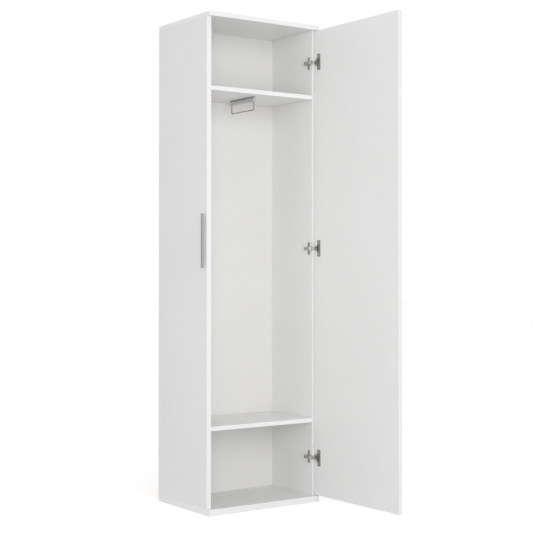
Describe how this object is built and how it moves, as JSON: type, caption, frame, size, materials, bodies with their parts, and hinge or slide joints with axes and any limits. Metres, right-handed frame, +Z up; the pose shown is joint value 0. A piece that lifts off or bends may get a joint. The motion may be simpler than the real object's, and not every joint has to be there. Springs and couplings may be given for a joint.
{
  "type": "wardrobe",
  "caption": "Tall narrow white wardrobe with a full-height hinged door, shelves, a pull-out hanger rail and slim bar handles.",
  "frame": {"origin": "on the floor, on the base board's underside, under the centre of the carcass", "axes": "+Z up, -Y to the front where the opening is, +X to the right seen from the front"},
  "size_m": [0.5419, 0.856, 1.88],
  "materials": {
    "white_board": "white melamine on chipboard, satin, banded edges",
    "white_back": "white lacquered hardboard, satin",
    "white_plastic": "moulded white plastic",
    "grey_plastic": "moulded light grey plastic",
    "clear_bumper": "clear soft bumper",
    "dowel_wood": "fluted beech dowel",
    "handle_metal": "satin, brushed along its length",
    "rail_steel": "satin nickel",
    "hinge_steel": "nickel-plated pressed steel",
    "zinc_steel": "zinc-plated"
  },
  "bodies": {
    "carcass": {"side_panel_left": "white_board", "side_panel_right": "white_board", "top_panel": "white_board", "base_panel": "white_board", "upper_shelf": "white_board", "lower_shelf": "white_board", "back_panel": "white_back", "carcass_screws": "zinc_steel", "top_screw_caps": "white_plastic", "carcass_dowels": "dowel_wood", "shelf_cams": "zinc_steel", "shelf_cam_bolts": "zinc_steel", "shelf_cam_caps": "white_plastic", "shelf_pins": "zinc_steel", "door_bumpers": "clear_bumper", "wall_bracket": "zinc_steel", "wall_bracket_screws": "zinc_steel", "side_handle_bar": "handle_metal", "side_handle_posts": "white_plastic", "side_handle_screws": "zinc_steel", "rail_housing": "rail_steel", "rail_screws": "zinc_steel", "hinge_plate_screws": "hinge_steel", "hinge_adjusting_screws": "hinge_steel", "hinge_pins": "hinge_steel", "hinge_plate_bottom": "hinge_steel", "hinge_plate_middle": "hinge_steel", "hinge_plate_top": "hinge_steel", "hinge_arm_bottom": "hinge_steel", "hinge_arm_middle": "hinge_steel", "hinge_arm_top": "hinge_steel"},
    "door": {"door_panel": "white_board", "door_handle_bar": "handle_metal", "door_handle_posts": "white_plastic", "door_handle_screws": "zinc_steel", "door_handle_caps": "white_plastic", "hinge_cup_screws": "hinge_steel", "hinge_cup_bottom": "hinge_steel", "hinge_cup_middle": "hinge_steel", "hinge_cup_top": "hinge_steel"},
    "hinge_links": {"hinge_link_bottom": "hinge_steel", "hinge_link_middle": "hinge_steel", "hinge_link_top": "hinge_steel"},
    "hanger_rail": {"rail_runner": "rail_steel", "rail_front_cap": "grey_plastic", "rail_wire_loop": "rail_steel"}
  },
  "joints": [
    {"name": "door_hinge", "type": "hinge", "parent": "carcass", "child": "door", "pos_m": [0.243, -0.1785, 0.9295], "axis": [0, 0, 1], "range_deg": [-91, 19]},
    {"name": "link_pivot", "type": "hinge", "parent": "carcass", "child": "hinge_links", "pos_m": [0.224, -0.18, 0.983], "axis": [0, 0, 1], "range_deg": [-8, 36]},
    {"name": "rail_slide", "type": "slide", "parent": "carcass", "child": "hanger_rail", "axis": [0, -1, 0], "range_m": [0, 0.055]}
  ],
  "couplings": [
    {"joint": "link_pivot", "follows": "door_hinge", "ratio": -0.3896}
  ]
}
